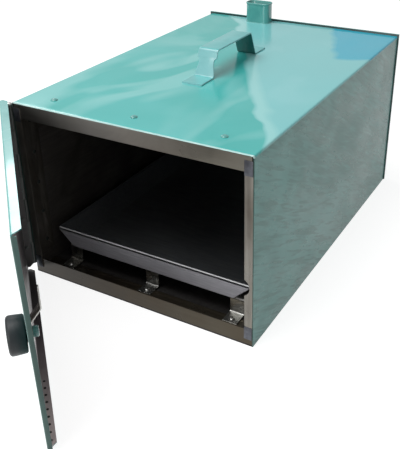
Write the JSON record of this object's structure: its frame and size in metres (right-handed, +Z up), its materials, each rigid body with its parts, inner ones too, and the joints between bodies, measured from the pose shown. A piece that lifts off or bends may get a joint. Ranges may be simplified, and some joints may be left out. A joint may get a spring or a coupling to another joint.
{
  "type": "electric mini oven",
  "caption": "Portable sheet steel mini oven with a side-hung door, turning latch, loose drip tray on brackets, tubular element, vent pipe and strap carrying handle.",
  "frame": {"origin": "the middle of the casing's underside, where it rests", "axes": "+Z up; -Y to the front, where the door and the opening are; +X to the right as seen from the front"},
  "size_m": [0.3309, 0.7446, 0.2725],
  "materials": {
    "teal_enamel": "gloss sea-green enamel over sheet steel",
    "bare_steel": "bare mill-finish steel, slightly brown",
    "tray_steel": "rolled bright steel sheet",
    "bright_steel": "bright strip steel and zinc-plated fasteners",
    "dark_steel": "heat-darkened steel",
    "black_plastic": "moulded phenolic, satin",
    "brass": "turned brass",
    "ceramic": "unglazed steatite",
    "wire_sleeve": "heat-resistant silicone sleeve"
  },
  "bodies": {
    "casing": {"casing_wrap": "teal_enamel", "floor_panel": "dark_steel", "rear_panel": "teal_enamel", "frame_top_rail": "bare_steel", "frame_bottom_rail": "bare_steel", "frame_left_stile": "bare_steel", "frame_right_stile": "bare_steel", "top_rivets": "teal_enamel", "carry_handle": "teal_enamel", "vent_pipe": "teal_enamel", "front_brackets": "bright_steel", "rear_brackets": "bright_steel", "bracket_screws": "bright_steel", "bracket_rivets": "bright_steel", "hinge_casing_leaf": "teal_enamel", "hinge_pin": "bright_steel", "hinge_casing_rivets": "teal_enamel", "element_sheath": "dark_steel", "element_support": "bright_steel", "support_rivets": "bright_steel", "element_bushes": "brass", "element_nuts": "brass", "element_insulators": "ceramic", "element_pins": "bright_steel", "terminal_cover": "teal_enamel", "cover_screws": "bright_steel", "inlet_body": "black_plastic", "inlet_contacts": "brass", "inlet_screws": "bright_steel", "earth_stud": "brass", "earth_nut": "brass", "lead_wires": "wire_sleeve"},
    "door": {"door_pan": "teal_enamel", "hinge_door_leaf": "teal_enamel", "hinge_door_rivets": "teal_enamel"},
    "latch": {"latch_knob": "black_plastic", "latch_spindle": "bright_steel", "latch_washer": "bright_steel", "latch_tongue": "bright_steel", "latch_cap_nut": "teal_enamel"},
    "tray": {"tray_pan": "tray_steel"}
  },
  "joints": [
    {"name": "door_hinge", "type": "hinge", "parent": "casing", "child": "door", "pos_m": [-0.1642, -0.235, 0.1235], "axis": [0, 0, -1], "range_deg": [-43.5, 136.5]},
    {"name": "latch_turn", "type": "hinge", "parent": "door", "child": "latch", "pos_m": [0.02516, -0.42944, 0.109], "axis": [0.6884, 0.7254, 0], "range_deg": [0, 90]},
    {"name": "tray_slide", "type": "slide", "parent": "casing", "child": "tray", "axis": [0, -1, 0], "range_m": [-0.015, 0.043]}
  ]
}
